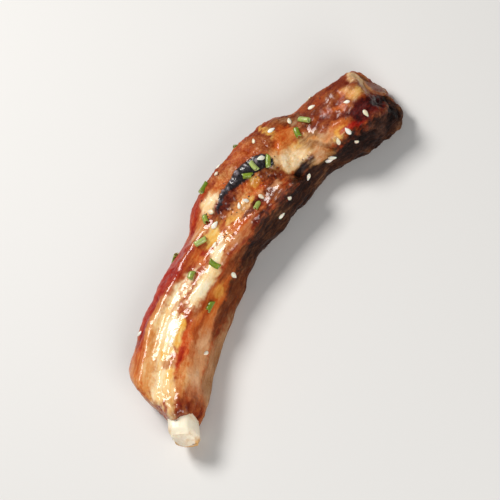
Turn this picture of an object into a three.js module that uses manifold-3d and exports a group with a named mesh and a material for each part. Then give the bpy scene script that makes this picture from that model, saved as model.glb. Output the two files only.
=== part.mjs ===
// One glazed pork rib: a long, bowed strip of meat on its bone, with sesame seeds and chopped chives.
// Millimetres. The rib lies on one of its two cut faces: bare bone at -X, thick end at +X, outer side
// at +Y.
import * as THREE from 'three';
import { mergeVertices } from 'three/addons/utils/BufferGeometryUtils.js';
import Module from 'manifold-3d';

const wasm = await Module();
wasm.setup();

// ---- Driving dimensions --------------------------------------------------------------------------

// The rib is modelled straight, as a length s, a width w (outwards) and a height h, and is then bent.
const SPINE_LENGTH = 163;
const SPINE_RISE = [-5.4, 35.9, 7.0, -18.6];

// The core line that every surface point is measured from.
const CORE_START = 22;
const CORE_END = 149;
const CORE_WIDTH = [0.5, 6.5];
const CORE_WIDENS = [20, 60];
const CORE_HEIGHT = 9.5;
const CORE_SPREAD = 1.45;
const SEARCH_REACH = 36;
const SEARCH_STEPS = 72;

const MEAT_AROUND = 38;
const MEAT_ALONG = 70;
const MEAT_CAP_RINGS = 7;

// Muscles and folds. centre and half are [s, w, h]; run is [dw/ds, dh/ds, dw/dh]; ends and section are
// the powers of the rounding along the rib and around it; blend is the fillet to the lobes before it.
const LOBES = {
  slab: {
    centre: [72, 7.6, 9.4], half: [57, 12.6, 10.4], run: [0, 0, 0],
    ends: 7, section: 3, blend: 3,
  },
  side: {
    centre: [48, -3, 9.2], half: [42, 6.6, 10.4], run: [0.035, 0, 0.28],
    ends: 2.3, section: 2.8, blend: 1.6,
  },
  collar: {
    centre: [23, -2.3, 9.8], half: [16.5, 7.2, 9.6], run: [0, 0, 0],
    ends: 8, section: 2.8, blend: 2,
  },
  crest: {
    centre: [56, 10.5, 13.2], half: [42, 6.5, 8.4], run: [0.02, 0, 0],
    ends: 4, section: 2, blend: 2,
  },
  lip: {
    centre: [64, -1.3, 15.2], half: [50, 3.6, 5.2], run: [-0.01, 0, 0],
    ends: 4, section: 2, blend: 1.5,
  },
  mound: {
    centre: [109, 16.5, 13.2], half: [27.5, 13.2, 11.2], run: [0.08, 0.01, 0],
    ends: 2.8, section: 2.3, blend: 2,
  },
  middle: {
    centre: [106, 7.2, 10], half: [34, 7.6, 9.2], run: [0.01, 0, 0.1],
    ends: 5, section: 2.8, blend: 2.4,
  },
  shank: {
    centre: [138, 11.2, 8.8], half: [22, 12, 9.8], run: [-0.06, 0, 0.1],
    ends: 4, section: 2.8, blend: 2.5,
  },
  shoulder: {
    centre: [133, 16.5, 10.8], half: [10, 7, 8], run: [-0.3, 0, 0],
    ends: 2.4, section: 2.4, blend: 2.5,
  },
  head: {
    centre: [151, 8, 10.5], half: [17, 15, 11.5], run: [-0.08, 0, 0],
    ends: 3.8, section: 2.9, blend: 2.5,
  },
  knuckle: {
    centre: [155, 0.5, 7.6], half: [12, 8, 8.4], run: [-0.05, 0, 0],
    ends: 2.6, section: 2.4, blend: 2,
  },
  boneSwell: {
    centre: [127, 10, 13.5], half: [12, 5.5, 5.6], run: [0, 0, 0],
    ends: 2.4, section: 2.2, blend: 2,
  },
};

// Knife cuts: a plane through point with the removed side along normal, both in [s, w, h].
const CUTS = [
  { point: [13.2, 3.5, 10], normal: [-0.743, 0.669, 0], blend: 3 },
  { point: [8.3, -2.5, 10], normal: [-0.819, -0.574, 0], blend: 3 },
  { point: [164.6, 8, 12], normal: [0.9, -0.1, 0.42], blend: 1.6 },
];

// Soft swellings and hollows: centre and half sizes [s, w, h], run dw/ds, and height out of the skin.
const SWELLS = {
  fatRoll: { centre: [48, 4, 20], half: [20, 4, 8], run: -0.04, height: 0.7 },
  fatGroove: { centre: [46, 8.2, 21], half: [24, 1.8, 6], run: -0.02, height: -0.8 },
  paleRoll: { centre: [84, 1.5, 20], half: [16, 3.4, 6], run: 0.02, height: 0.7 },
  tongue: { centre: [114, 0, 19], half: [8, 5, 7], run: -0.4, height: 0.8 },
  hollow: { centre: [127, 1, 18], half: [7, 4.5, 7], run: -0.2, height: -2.2 },
  innerHollow: { centre: [116, -3, 11], half: [16, 5, 5.5], run: 0, height: -0.9 },
  innerRidge: { centre: [129, -5, 17.5], half: [9, 2.4, 3.5], run: -0.1, height: 1.2 },
  headRidge: { centre: [150, -4, 19], half: [9, 3, 4], run: -0.05, height: 0.9 },
  headDip: { centre: [147, 10, 21], half: [6, 6, 5], run: 0.3, height: -0.9 },
};

// A burnt seam that runs in a low arc over the mound.
const SEAM_FROM = 90;
const SEAM_TO = 121;
const SEAM_CREST = 14.2;
const SEAM_ARC = 0.02;
const SEAM_HALF_WIDTH = 2.3;
const SEAM_HEIGHT = 1.2;
const SEAM_FADE = 4;
const SEAM_LUMP_LENGTH = 4.6;
const SEAM_LUMP_SHARE = 0.3;

// Slow unevenness of the whole surface.
const WAVE_HEIGHT = 0.25;
const WAVE_LENGTHS = [26, 15, 19];
const WAVE_DRIFT = 1 / 9;

// The bone is a flattened rod. It follows the inner side first and moves outwards at the thick end.
const BONE_TIP = 4.5;
const BONE_END = 165.2;
const BONE_HALF = [5.3, 7];
const BONE_SECTION = 3.2;
const BONE_WAIST = 0.18;
const BONE_WAIST_FROM = 14;
const BONE_WAIST_TO = 50;
const BONE_RIM = 2.2;
const BONE_RIM_SHRINK = 0.16;
const BONE_TIP_SLANT = 0.18;
const BONE_END_SLANT = -0.45;
const BONE_SLANT_LENGTH = 40;
const BONE_OUT = [-0.8, 9.2];
const BONE_MOVES_OUT = [50, 124];
const BONE_TIP_IN = 2.2;
const BONE_TIP_BENDS = [8, 30];
const BONE_RISE = [9.3, 11.7];
const BONE_RISES = [20, 60];
const BONE_AROUND = 20;
const BONE_ALONG = 30;
const BONE_CLEARANCE = 0.3;

// Sesame seeds: half sizes along, across and up, how deep the middle sits, and [s, angle] spots, the
// angle in degrees round the core line from +w towards +h.
const SEED_HALF = [1.6, 0.95, 0.5];
const SEED_SINK = -0.1;
const SEED_SPOTS = [
  [42, 44], [82, 98], [88, 82], [91, 70], [99, 92], [102, 94], [103, 52], [106, 36], [107, 106], [114, 146],
  [117, 76], [120, 54], [125, 168], [127, 56], [134, 52], [136, 160], [141, 126], [143, 58], [146, 124],
  [146, 150], [153, 92], [155, 122],
];

// More seeds by a rule: every third one on the inner side, the others on the outer side.
const SEED_EXTRAS = 12;
const SEED_EXTRA_FROM = 40;
const SEED_EXTRA_TO = 156;
const SEED_INNER_ANGLES = [150, 180];
const SEED_OUTER_ANGLES = [0, 35];

// Chopped chives: [s, angle, turn on the surface in degrees, length].
const CHIVE_RADIUS = 1.1;
const CHIVE_SINK = -0.45;
const CHIVE_SPOTS = [
  [59, 144, 0, 4.2], [67, 96, 10, 3.2], [75, 116, 90, 4.6], [80, 80, -25, 5.0], [88, 68, 60, 3.4],
  [97, 46, 25, 5.4], [103, 112, 30, 3.2], [109, 78, -40, 3.8], [113, 76, 80, 4.2], [118, 82, 45, 4.8],
  [133, 72, 70, 4.0], [138, 66, 115, 5.2], [72, 24, -50, 4.6], [116, 20, 35, 5.0], [144, 16, 100, 3.8],
];

const RANDOM_SEED = 1207;
const RANDOM_STEP = 16807;
const RANDOM_SIZE = 2147483647;

// How close two points are that count as one, and how far a slope is measured.
const SAME_POINT = 1e-5;
const NUDGE = 0.05;

// ---- Shape functions -----------------------------------------------------------------------------

function smoothstep(value, from, to) {
  return THREE.MathUtils.smoothstep(value, from, to);
}

function spineAt(s) {
  const [a, b, c, d] = SPINE_RISE;
  const raw = s / SPINE_LENGTH;
  const t = THREE.MathUtils.clamp(raw, 0, 1);
  const u = 1 - t;
  const slope = 3 * (u * u * (b - a) + 2 * u * t * (c - b) + t * t * (d - c)) / SPINE_LENGTH;
  const rise = u ** 3 * a + 3 * t * u * u * b + 3 * t * t * u * c + t ** 3 * d;
  return { rise: rise + (raw - t) * SPINE_LENGTH * slope, slope };
}

function bend([s, w, h]) {
  const { rise, slope } = spineAt(s);
  const stretch = Math.hypot(1, slope);
  return new THREE.Vector3(s - w * slope / stretch, rise + w / stretch, h);
}

// 1 on a rounded square of half side 1; a power of 2 gives a circle.
function roundedLength(a, b, power) {
  return (Math.abs(a) ** power + Math.abs(b) ** power) ** (1 / power);
}

function lobeField(lobe, [s, w, h]) {
  const { centre, half, run, ends, section } = lobe;
  const along = s - centre[0];
  const up = h - centre[2] - run[1] * along;
  const out = w - centre[1] - run[0] * along - run[2] * up;
  const round = roundedLength(out / half[1], up / half[2], section);
  return (roundedLength(along / half[0], round, ends) - 1) * Math.min(half[1], half[2]);
}

function join(a, b, blend) {
  const mix = THREE.MathUtils.clamp(0.5 + 0.5 * (b - a) / blend, 0, 1);
  return b * (1 - mix) + a * mix - blend * mix * (1 - mix);
}

function swell({ centre, half, run, height }, [s, w, h]) {
  const ahead = s - centre[0];
  const across = w - centre[1] - run * ahead;
  const far = (ahead / half[0]) ** 2 + (across / half[1]) ** 2 + ((h - centre[2]) / half[2]) ** 2;
  return height * Math.exp(-far);
}

function seam([s, w, h]) {
  const middle = (SEAM_FROM + SEAM_TO) / 2;
  const off = (w - SEAM_CREST + SEAM_ARC * (s - middle) ** 2) / SEAM_HALF_WIDTH;
  const starts = smoothstep(s, SEAM_FROM, SEAM_FROM + SEAM_FADE);
  const inside = starts * (1 - smoothstep(s, SEAM_TO - SEAM_FADE, SEAM_TO));
  const lumps = 1 - SEAM_LUMP_SHARE + SEAM_LUMP_SHARE * Math.sin(2 * Math.PI * s / SEAM_LUMP_LENGTH);
  return h > CORE_HEIGHT ? SEAM_HEIGHT * inside * lumps * Math.exp(-off * off) : 0;
}

function wave([s, w, h]) {
  const [long, across, up] = WAVE_LENGTHS.map((length) => 2 * Math.PI / length);
  const swing = Math.sin(s * long + 2 * Math.sin(w * across / 2));
  return WAVE_HEIGHT * swing * Math.sin(w * across + h * up + s * WAVE_DRIFT);
}

function relief(point) {
  const swells = Object.values(SWELLS).reduce((sum, one) => sum + swell(one, point), 0);
  return swells + seam(point) + wave(point);
}

function meatField(point) {
  let field = Infinity;
  for (const lobe of Object.values(LOBES)) {
    const next = lobeField(lobe, point);
    field = field === Infinity ? next : join(field, next, lobe.blend);
  }
  field -= relief(point);
  for (const { point: on, normal, blend } of CUTS) {
    const beyond = normal.reduce((sum, part, axis) => sum + part * (point[axis] - on[axis]), 0);
    field = -join(-field, -beyond, blend);
  }
  return field;
}

function along(start, direction, distance) {
  return start.map((value, axis) => value + direction[axis] * distance);
}

// The outermost point of the meat on a ray that leaves the core line.
function meatSurface(start, direction) {
  const step = SEARCH_REACH / SEARCH_STEPS;
  let outside = meatField(along(start, direction, SEARCH_REACH));
  for (let distance = SEARCH_REACH - step; distance > 0; distance -= step) {
    const field = meatField(along(start, direction, distance));
    if (field < 0) {
      return along(start, direction, distance + step * (1 - outside / (outside - field)));
    }
    outside = field;
  }
  return start;
}

function corePoint(s) {
  const [thin, thick] = CORE_WIDTH;
  return [s, thin + (thick - thin) * smoothstep(s, ...CORE_WIDENS), CORE_HEIGHT];
}

function spread(ds, out, up) {
  const direction = [ds, out * CORE_SPREAD, up];
  const length = Math.hypot(...direction);
  return direction.map((value) => value / length);
}

// ---- Solids --------------------------------------------------------------------------------------

// Moves every vertex of a closed geometry and returns it as a solid.
function solid(geometry, move) {
  geometry.deleteAttribute('normal');
  geometry.deleteAttribute('uv');
  const merged = mergeVertices(geometry, SAME_POINT);
  const position = merged.getAttribute('position');
  const point = new THREE.Vector3();
  for (let index = 0; index < position.count; index += 1) {
    point.fromBufferAttribute(position, index);
    position.setXYZ(index, ...move(point).toArray());
  }
  return new wasm.Manifold(new wasm.Mesh({
    numProp: 3,
    vertProperties: Float32Array.from(position.array),
    triVerts: Uint32Array.from(merged.index.array),
  }));
}

function meshOf(name, body, colour, roughness) {
  const { vertProperties, triVerts } = body.getMesh();
  const geometry = new THREE.BufferGeometry();
  geometry.setAttribute('position', new THREE.BufferAttribute(vertProperties, 3));
  geometry.setIndex(new THREE.BufferAttribute(triVerts, 1));
  geometry.computeVertexNormals();
  const material = new THREE.MeshStandardMaterial({ color: colour, roughness, metalness: 0 });
  const mesh = new THREE.Mesh(geometry, material);
  mesh.name = name;
  return mesh;
}

function meatBody() {
  const half = (CORE_END - CORE_START) / 2;
  const middle = (CORE_END + CORE_START) / 2;
  const capsule = new THREE.CapsuleGeometry(1, 2 * half, MEAT_CAP_RINGS, MEAT_AROUND, MEAT_ALONG);
  return solid(capsule, ({ x, y, z }) => {
    const core = THREE.MathUtils.clamp(y, -half, half);
    const surface = meatSurface(corePoint(middle + core), spread(y - core, -x, z));
    surface[2] = Math.max(surface[2], 0);
    return bend(surface);
  });
}

function boneLine(s) {
  const outwards = smoothstep(s, ...BONE_MOVES_OUT);
  const upwards = smoothstep(s, ...BONE_RISES);
  const inwards = BONE_TIP_IN * (1 - smoothstep(s, ...BONE_TIP_BENDS));
  const width = THREE.MathUtils.lerp(...BONE_OUT, outwards) - inwards;
  return [width, THREE.MathUtils.lerp(...BONE_RISE, upwards)];
}

// grow is 0 for the bone itself; the hole that it leaves in the meat is larger all round.
function boneBody(grow) {
  const rod = new THREE.CylinderGeometry(1, 1, 2, BONE_AROUND, BONE_ALONG);
  return solid(rod, ({ x, y, z }) => {
    const length = BONE_END - BONE_TIP;
    const s = BONE_TIP + length * (0.5 + 0.5 * Math.sin(y * Math.PI / 2)) + y * grow;
    const edge = Math.min(s - BONE_TIP, BONE_END - s);
    const rim = 1 - BONE_RIM_SHRINK * (1 - smoothstep(edge, 0, BONE_RIM));
    const waist = 1 - BONE_WAIST * smoothstep(s, BONE_WAIST_FROM, BONE_WAIST_TO);
    const radius = Math.hypot(x, z);
    const square = radius > 0 ? radius / roundedLength(x, z, BONE_SECTION) : 0;
    const [centreWidth, centreHeight] = boneLine(s);
    const out = -x * square * (BONE_HALF[0] * rim * waist + grow);
    const up = z * square * (BONE_HALF[1] * rim * waist + grow);
    const tip = 1 - smoothstep(s, BONE_TIP, BONE_TIP + BONE_SLANT_LENGTH);
    const end = smoothstep(s, BONE_END - BONE_SLANT_LENGTH, BONE_END);
    const shift = tip * (BONE_TIP_SLANT * out) + end * BONE_END_SLANT * up;
    return bend([s + shift, centreWidth + out, centreHeight + up]);
  });
}

// A small closed shape, long side along its own X and lying on Z, set on the skin of the meat.
function laidOnMeat(geometry, size, s, angle, turn, sink) {
  const radians = THREE.MathUtils.degToRad(angle);
  const out = Math.cos(radians);
  const up = Math.sin(radians);
  const straight = meatSurface(corePoint(s), spread(0, out, up));
  const origin = bend(straight);
  const slope = (axis) => {
    const offset = [0, 0, 0];
    offset[axis] = NUDGE;
    return meatField(straight.map((value, index) => value + offset[index])) - meatField(straight);
  };
  const tilt = straight.map((value, axis) => value + slope(axis) / NUDGE);
  const normal = bend(tilt).sub(origin).normalize();
  const forward = bend([straight[0] + 1, straight[1], straight[2]]).sub(origin);
  const side = new THREE.Vector3().crossVectors(normal, forward).normalize();
  const front = new THREE.Vector3().crossVectors(side, normal);
  const place = new THREE.Matrix4().makeBasis(front, side, normal);
  place.multiply(new THREE.Matrix4().makeRotationZ(THREE.MathUtils.degToRad(turn)));
  place.scale(new THREE.Vector3(...size));
  place.setPosition(origin.addScaledVector(normal, -sink));
  return solid(geometry, (point) => point.applyMatrix4(place));
}

let randomState = RANDOM_SEED;
function random() {
  randomState = (randomState * RANDOM_STEP) % RANDOM_SIZE;
  return randomState / RANDOM_SIZE;
}

function seedSpots() {
  const spots = [...SEED_SPOTS];
  for (let index = 0; index < SEED_EXTRAS; index += 1) {
    const share = (index + random()) / SEED_EXTRAS;
    const angles = index % 3 === 0 ? SEED_INNER_ANGLES : SEED_OUTER_ANGLES;
    const s = THREE.MathUtils.lerp(SEED_EXTRA_FROM, SEED_EXTRA_TO, share);
    spots.push([s, THREE.MathUtils.lerp(...angles, random())]);
  }
  return spots;
}

function seedBodies() {
  return seedSpots().map(([s, angle]) => {
    const geometry = new THREE.SphereGeometry(1, 6, 4);
    return laidOnMeat(geometry, SEED_HALF, s, angle, 360 * random(), SEED_SINK);
  });
}

function chiveBodies() {
  return CHIVE_SPOTS.map(([s, angle, turn, length]) => {
    const geometry = new THREE.CylinderGeometry(1, 1, 1, 7).rotateZ(Math.PI / 2);
    return laidOnMeat(geometry, [length, CHIVE_RADIUS, CHIVE_RADIUS], s, angle, turn, CHIVE_SINK);
  });
}

const bone = boneBody(0);
let meat = meatBody().subtract(boneBody(BONE_CLEARANCE));
for (const bit of [...seedBodies(), ...chiveBodies()]) {
  meat = meat.add(bit);
}

const rib = new THREE.Group();
rib.add(meshOf('meat', meat, '#b5602c', 0.3));
rib.add(meshOf('bone', bone, '#e6d3ab', 0.55));

const box = new THREE.Box3().setFromObject(rib);
const centre = box.getCenter(new THREE.Vector3());
rib.position.set(-centre.x, -centre.y, -box.min.z);

export default rib;
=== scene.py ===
"""A glazed pork rib on its bone, with sesame seeds and chopped chives, lying on a pale floor."""
import math

import bmesh
import bpy
import numpy as np
from mathutils import Matrix, Vector, noise


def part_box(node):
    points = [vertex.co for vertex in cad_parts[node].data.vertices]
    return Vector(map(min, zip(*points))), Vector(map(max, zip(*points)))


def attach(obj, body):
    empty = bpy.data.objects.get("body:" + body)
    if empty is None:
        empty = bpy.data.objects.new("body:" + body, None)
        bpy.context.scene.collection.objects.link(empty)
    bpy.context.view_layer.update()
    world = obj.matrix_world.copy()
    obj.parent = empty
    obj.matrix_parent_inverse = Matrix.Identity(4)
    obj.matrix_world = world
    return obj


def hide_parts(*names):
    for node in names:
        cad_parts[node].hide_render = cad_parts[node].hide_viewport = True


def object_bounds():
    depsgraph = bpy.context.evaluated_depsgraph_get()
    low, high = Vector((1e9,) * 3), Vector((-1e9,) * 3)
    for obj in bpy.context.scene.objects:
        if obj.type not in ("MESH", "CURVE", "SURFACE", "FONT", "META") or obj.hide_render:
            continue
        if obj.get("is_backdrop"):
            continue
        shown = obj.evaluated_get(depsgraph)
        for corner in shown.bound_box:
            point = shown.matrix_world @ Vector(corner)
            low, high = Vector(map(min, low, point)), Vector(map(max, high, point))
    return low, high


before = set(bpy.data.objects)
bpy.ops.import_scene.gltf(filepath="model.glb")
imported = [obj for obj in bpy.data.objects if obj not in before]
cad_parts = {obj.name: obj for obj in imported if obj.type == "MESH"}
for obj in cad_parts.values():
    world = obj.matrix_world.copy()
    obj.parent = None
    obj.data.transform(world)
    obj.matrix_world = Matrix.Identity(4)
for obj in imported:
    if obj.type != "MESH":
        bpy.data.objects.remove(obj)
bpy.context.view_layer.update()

bl_info = {
    "name": "Glazed Pork Rib",
    "version": (1, 0, 0),
    "blender": (4, 5, 0),
    "location": "View3D > Sidebar > Rib",
    "description": "Makes a glazed pork rib with its bone, sesame seeds, chives and a plain stage",
    "category": "Add Mesh",
}

MM = 0.001

# ---- The form of the rib, in millimetres: length s, width w outwards, height h ----------------------

SPINE_LENGTH = 163.0
SPINE_RISE = (-5.4, 35.9, 7.0, -18.6)
CORE_START = 22.0
CORE_END = 149.0
CORE_WIDTH = (0.5, 6.5)
CORE_WIDENS = (20.0, 60.0)
CORE_HEIGHT = 9.5
CORE_SPREAD = 1.45
SEARCH_REACH = 36.0
SEARCH_STEPS = 36
SEARCH_HALVINGS = 5

# centre [s, w, h], half sizes, run (dw/ds, dh/ds, dw/dh), end power, section power, blend.
LOBES = {
    "slab": ((72, 7.6, 9.4), (57, 12.6, 10.4), (0, 0, 0), 7, 3, 3),
    "side": ((48, -3, 9.2), (42, 6.6, 10.4), (0.035, 0, 0.28), 2.3, 2.8, 1.6),
    "collar": ((23, -2.3, 9.8), (16.5, 7.2, 9.6), (0, 0, 0), 8, 2.8, 2),
    "crest": ((56, 10.5, 13.2), (42, 6.5, 8.4), (0.02, 0, 0), 4, 2, 2),
    "lip": ((64, -1.3, 15.2), (50, 3.6, 5.2), (-0.01, 0, 0), 4, 2, 1.5),
    "mound": ((109, 16.5, 13.2), (27.5, 13.2, 11.2), (0.08, 0.01, 0), 2.8, 2.3, 2),
    "middle": ((106, 7.2, 10), (34, 7.6, 9.2), (0.01, 0, 0.1), 5, 2.8, 2.4),
    "shank": ((138, 11.2, 8.8), (22, 12, 9.8), (-0.06, 0, 0.1), 4, 2.8, 2.5),
    "shoulder": ((133, 16.5, 10.8), (10, 7, 8), (-0.3, 0, 0), 2.4, 2.4, 2.5),
    "head": ((151, 8, 10.5), (17, 15, 11.5), (-0.08, 0, 0), 3.8, 2.9, 2.5),
    "knuckle": ((155, 0.5, 7.6), (12, 8, 8.4), (-0.05, 0, 0), 2.6, 2.4, 2),
    "bone_swell": ((127, 10, 13.5), (12, 5.5, 5.6), (0, 0, 0), 2.4, 2.2, 2),
}

# Knife cuts: a point on the plane, the side that is cut away, the rounding.
CUTS = (
    ((13.2, 3.5, 10), (-0.743, 0.669, 0), 3),
    ((8.3, -2.5, 10), (-0.819, -0.574, 0), 3),
    ((164.6, 8, 12), (0.9, -0.1, 0.42), 1.6),
)

# Soft swellings and hollows: centre, half sizes, run dw/ds, height out of the skin.
SWELLS = {
    "fat_roll": ((48, 4, 20), (20, 4, 8), -0.04, 0.7),
    "fat_groove": ((46, 8.2, 21), (24, 1.8, 6), -0.02, -0.8),
    "pale_roll": ((84, 1.5, 20), (16, 3.4, 6), 0.02, 0.7),
    "tongue": ((114, 0, 19), (8, 5, 7), -0.4, 0.8),
    "hollow": ((127, 1, 18), (7, 4.5, 7), -0.2, -2.2),
    "inner_hollow": ((116, -3, 11), (16, 5, 5.5), 0, -0.9),
    "inner_ridge": ((129, -5, 17.5), (9, 2.4, 3.5), -0.1, 1.2),
    "head_ridge": ((150, -4, 19), (9, 3, 4), -0.05, 0.9),
    "head_dip": ((147, 10, 21), (6, 6, 5), 0.3, -0.9),
}

SEAM_FROM = 90.0
SEAM_TO = 121.0
SEAM_CREST = 14.2
SEAM_ARC = 0.02
SEAM_HALF_WIDTH = 2.3
SEAM_HEIGHT = 1.2
SEAM_FADE = 4.0
SEAM_LUMP_LENGTH = 4.6

WAVE_HEIGHT = 0.25
WAVE_LENGTHS = (26.0, 15.0, 19.0)

BONE_TIP = 4.5
BONE_END = 165.2
BONE_HALF = (5.3, 7.0)
BONE_SECTION = 3.2
BONE_WAIST = 0.18
BONE_WAIST_SPAN = (14.0, 50.0)
BONE_RIM = 2.2
BONE_RIM_SHRINK = 0.16
BONE_TIP_SLANT = 0.18
BONE_END_SLANT = -0.45
BONE_SLANT_LENGTH = 40.0
BONE_TIP_IN = 2.2
BONE_TIP_BENDS = (8.0, 30.0)
BONE_OUT = (-0.8, 10.0)
BONE_OUT_SPAN = (50.0, 124.0)
BONE_UP = (9.3, 2.4)
BONE_UP_SPAN = (20.0, 60.0)

# [s, angle]: the angle in degrees round the core line, from +w towards +h.
SEED_SPOTS = (
    (42, 44), (82, 98), (88, 82), (91, 70), (99, 92), (102, 94), (103, 52), (106, 36), (107, 106), (114, 146),
    (117, 76), (120, 54), (125, 168), (127, 56), (134, 52), (136, 160), (141, 126), (143, 58), (146, 124),
    (146, 150), (153, 92), (155, 122),
)
SEED_EXTRAS = 12
SEED_EXTRA_SPAN = (40.0, 156.0)
SEED_INNER_FROM = 150.0
SEED_INNER_ARC = 30.0
SEED_OUTER_ARC = 35.0
SEED_SINK = -0.1

# [s, angle, turn on the surface in degrees, length].
CHIVE_SPOTS = (
    (59, 144, 0, 4.2), (67, 96, 10, 3.2), (75, 116, 90, 4.6), (80, 80, -25, 5.0), (88, 68, 60, 3.4),
    (97, 46, 25, 5.4), (103, 112, 30, 3.2), (109, 78, -40, 3.8), (113, 76, 80, 4.2), (118, 82, 45, 4.8),
    (133, 72, 70, 4.0), (138, 66, 115, 5.2), (72, 24, -50, 4.6), (116, 20, 35, 5.0), (144, 16, 100, 3.8),
)
CHIVE_SINK = -0.55
RANDOM_SEED = 1207


def smooth(value, low, high):
    """0 below low, 1 above high, and a soft step between them."""
    t = np.clip((np.asarray(value, float) - low) / (high - low), 0, 1)
    return t * t * (3 - 2 * t)


def spine(s):
    """The rise of the bowed spine at s, and its slope."""
    a, b, c, d = SPINE_RISE
    raw = np.asarray(s, float) / SPINE_LENGTH
    t = np.clip(raw, 0, 1)
    u = 1 - t
    slope = 3 * (u * u * (b - a) + 2 * u * t * (c - b) + t * t * (d - c)) / SPINE_LENGTH
    rise = u**3 * a + 3 * t * u * u * b + 3 * t * t * u * c + t**3 * d
    return rise + (raw - t) * SPINE_LENGTH * slope, slope


def bend(points):
    """Straight points (s, w, h) laid along the bowed spine."""
    s, w, h = np.moveaxis(np.asarray(points, float), -1, 0)
    rise, slope = spine(s)
    stretch = np.hypot(1, slope)
    return np.stack([s - w * slope / stretch, rise + w / stretch, h], -1)


def lobe_field(lobe, s, w, h):
    """Below zero inside one lobe, in about millimetres."""
    centre, half, run, ends, section, _blend = lobe
    along = s - centre[0]
    up = h - centre[2] - run[1] * along
    out = w - centre[1] - run[0] * along - run[2] * up
    ring = (np.abs(out / half[1]) ** section + np.abs(up / half[2]) ** section) ** (1 / section)
    size = (np.abs(along / half[0]) ** ends + ring**ends) ** (1 / ends)
    return (size - 1) * min(half[1], half[2])


def join(a, b, blend):
    """The smaller of two fields, with a fillet."""
    mix = np.clip(0.5 + 0.5 * (b - a) / blend, 0, 1)
    return b * (1 - mix) + a * mix - blend * mix * (1 - mix)


def seam_place(s, w, h):
    """Where a point is over the burnt seam: 1 to 0 at its ends, and how far it is off the middle."""
    middle = (SEAM_FROM + SEAM_TO) / 2
    off = (w - SEAM_CREST + SEAM_ARC * (s - middle) ** 2) / SEAM_HALF_WIDTH
    inside = smooth(s, SEAM_FROM, SEAM_FROM + SEAM_FADE) * (1 - smooth(s, SEAM_TO - SEAM_FADE, SEAM_TO))
    return np.where(h > CORE_HEIGHT, inside, 0), off


def seam_shape(s, w, h):
    """1 along the middle of the burnt seam, 0 away from it."""
    inside, off = seam_place(s, w, h)
    return inside * np.exp(-off * off)


def relief(s, w, h):
    """Swellings, the seam and the slow unevenness, in millimetres out of the skin."""
    total = np.zeros(np.shape(s))
    for centre, half, run, height in SWELLS.values():
        ahead = s - centre[0]
        across = w - centre[1] - run * ahead
        far = (ahead / half[0]) ** 2 + (across / half[1]) ** 2 + ((h - centre[2]) / half[2]) ** 2
        total = total + height * np.exp(-far)
    swelling = 0.7 + 0.3 * np.sin(2 * math.pi * s / SEAM_LUMP_LENGTH)
    total = total + SEAM_HEIGHT * swelling * seam_shape(s, w, h)
    long, across, up = (2 * math.pi / length for length in WAVE_LENGTHS)
    swing = np.sin(s * long + 2 * np.sin(w * across / 2))
    return total + WAVE_HEIGHT * swing * np.sin(w * across + h * up + s / 9)


def meat_field(points):
    """Below zero inside the meat."""
    s, w, h = np.moveaxis(points, -1, 0)
    field = None
    for lobe in LOBES.values():
        next_field = lobe_field(lobe, s, w, h)
        field = next_field if field is None else join(field, next_field, lobe[5])
    field = field - relief(s, w, h)
    for on, normal, blend in CUTS:
        beyond = sum(part * (value - start) for part, value, start in zip(normal, (s, w, h), on))
        field = -join(-field, -beyond, blend)
    return field


def core_points(s):
    """The core line that surface points are measured from."""
    thin, thick = CORE_WIDTH
    width = thin + (thick - thin) * smooth(s, *CORE_WIDENS)
    return np.stack([s, width, np.full(np.shape(s), CORE_HEIGHT)], -1)


def spread(ahead, out, up):
    """Unit directions, flattened as the rib's section is."""
    way = np.stack([ahead, out * CORE_SPREAD, up], -1)
    return way / np.linalg.norm(way, axis=-1, keepdims=True)


def meat_surface(start, way):
    """The outermost points of the meat on rays that leave the core line."""
    step = SEARCH_REACH / SEARCH_STEPS
    near = np.zeros(len(start))
    seeking = np.arange(len(start))
    for index in range(1, SEARCH_STEPS):
        distance = SEARCH_REACH - index * step
        inside = meat_field(start[seeking] + way[seeking] * distance) < 0
        near[seeking[inside]] = distance
        seeking = seeking[~inside]
        if not len(seeking):
            break
    far = near + step
    for _ in range(SEARCH_HALVINGS):
        middle = (near + far) / 2
        inside = meat_field(start + way * middle[:, None]) < 0
        near = np.where(inside, middle, near)
        far = np.where(inside, far, middle)
    return start + way * ((near + far) / 2)[:, None]


def bone_line(s):
    """Width and height of the middle of the bone at s."""
    out, more_out = BONE_OUT
    up, more_up = BONE_UP
    inwards = BONE_TIP_IN * (1 - smooth(s, *BONE_TIP_BENDS))
    width = out + more_out * smooth(s, *BONE_OUT_SPAN) - inwards
    return width, up + more_up * smooth(s, *BONE_UP_SPAN)


def bone_points(y, out, up):
    """Straight points of the bone: y from -1 to 1 along it, out and up on a unit disc."""
    length = BONE_END - BONE_TIP
    s = BONE_TIP + length * (0.5 + 0.5 * np.sin(y * math.pi / 2))
    rim = 1 - BONE_RIM_SHRINK * (1 - smooth(np.minimum(s - BONE_TIP, BONE_END - s), 0, BONE_RIM))
    waist = 1 - BONE_WAIST * smooth(s, *BONE_WAIST_SPAN)
    radius = np.hypot(out, up)
    corner = (np.abs(out) ** BONE_SECTION + np.abs(up) ** BONE_SECTION) ** (1 / BONE_SECTION)
    square = np.where(radius > 0, radius / np.maximum(corner, 1e-9), 0)
    middle_width, middle_height = bone_line(s)
    across = out * square * BONE_HALF[0] * rim * waist
    high = up * square * BONE_HALF[1] * rim * waist
    tip = 1 - smooth(s, BONE_TIP, BONE_TIP + BONE_SLANT_LENGTH)
    end = smooth(s, BONE_END - BONE_SLANT_LENGTH, BONE_END)
    shift = tip * BONE_TIP_SLANT * across + end * BONE_END_SLANT * high
    return np.stack([s + shift, middle_width + across, middle_height + high], -1)


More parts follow.
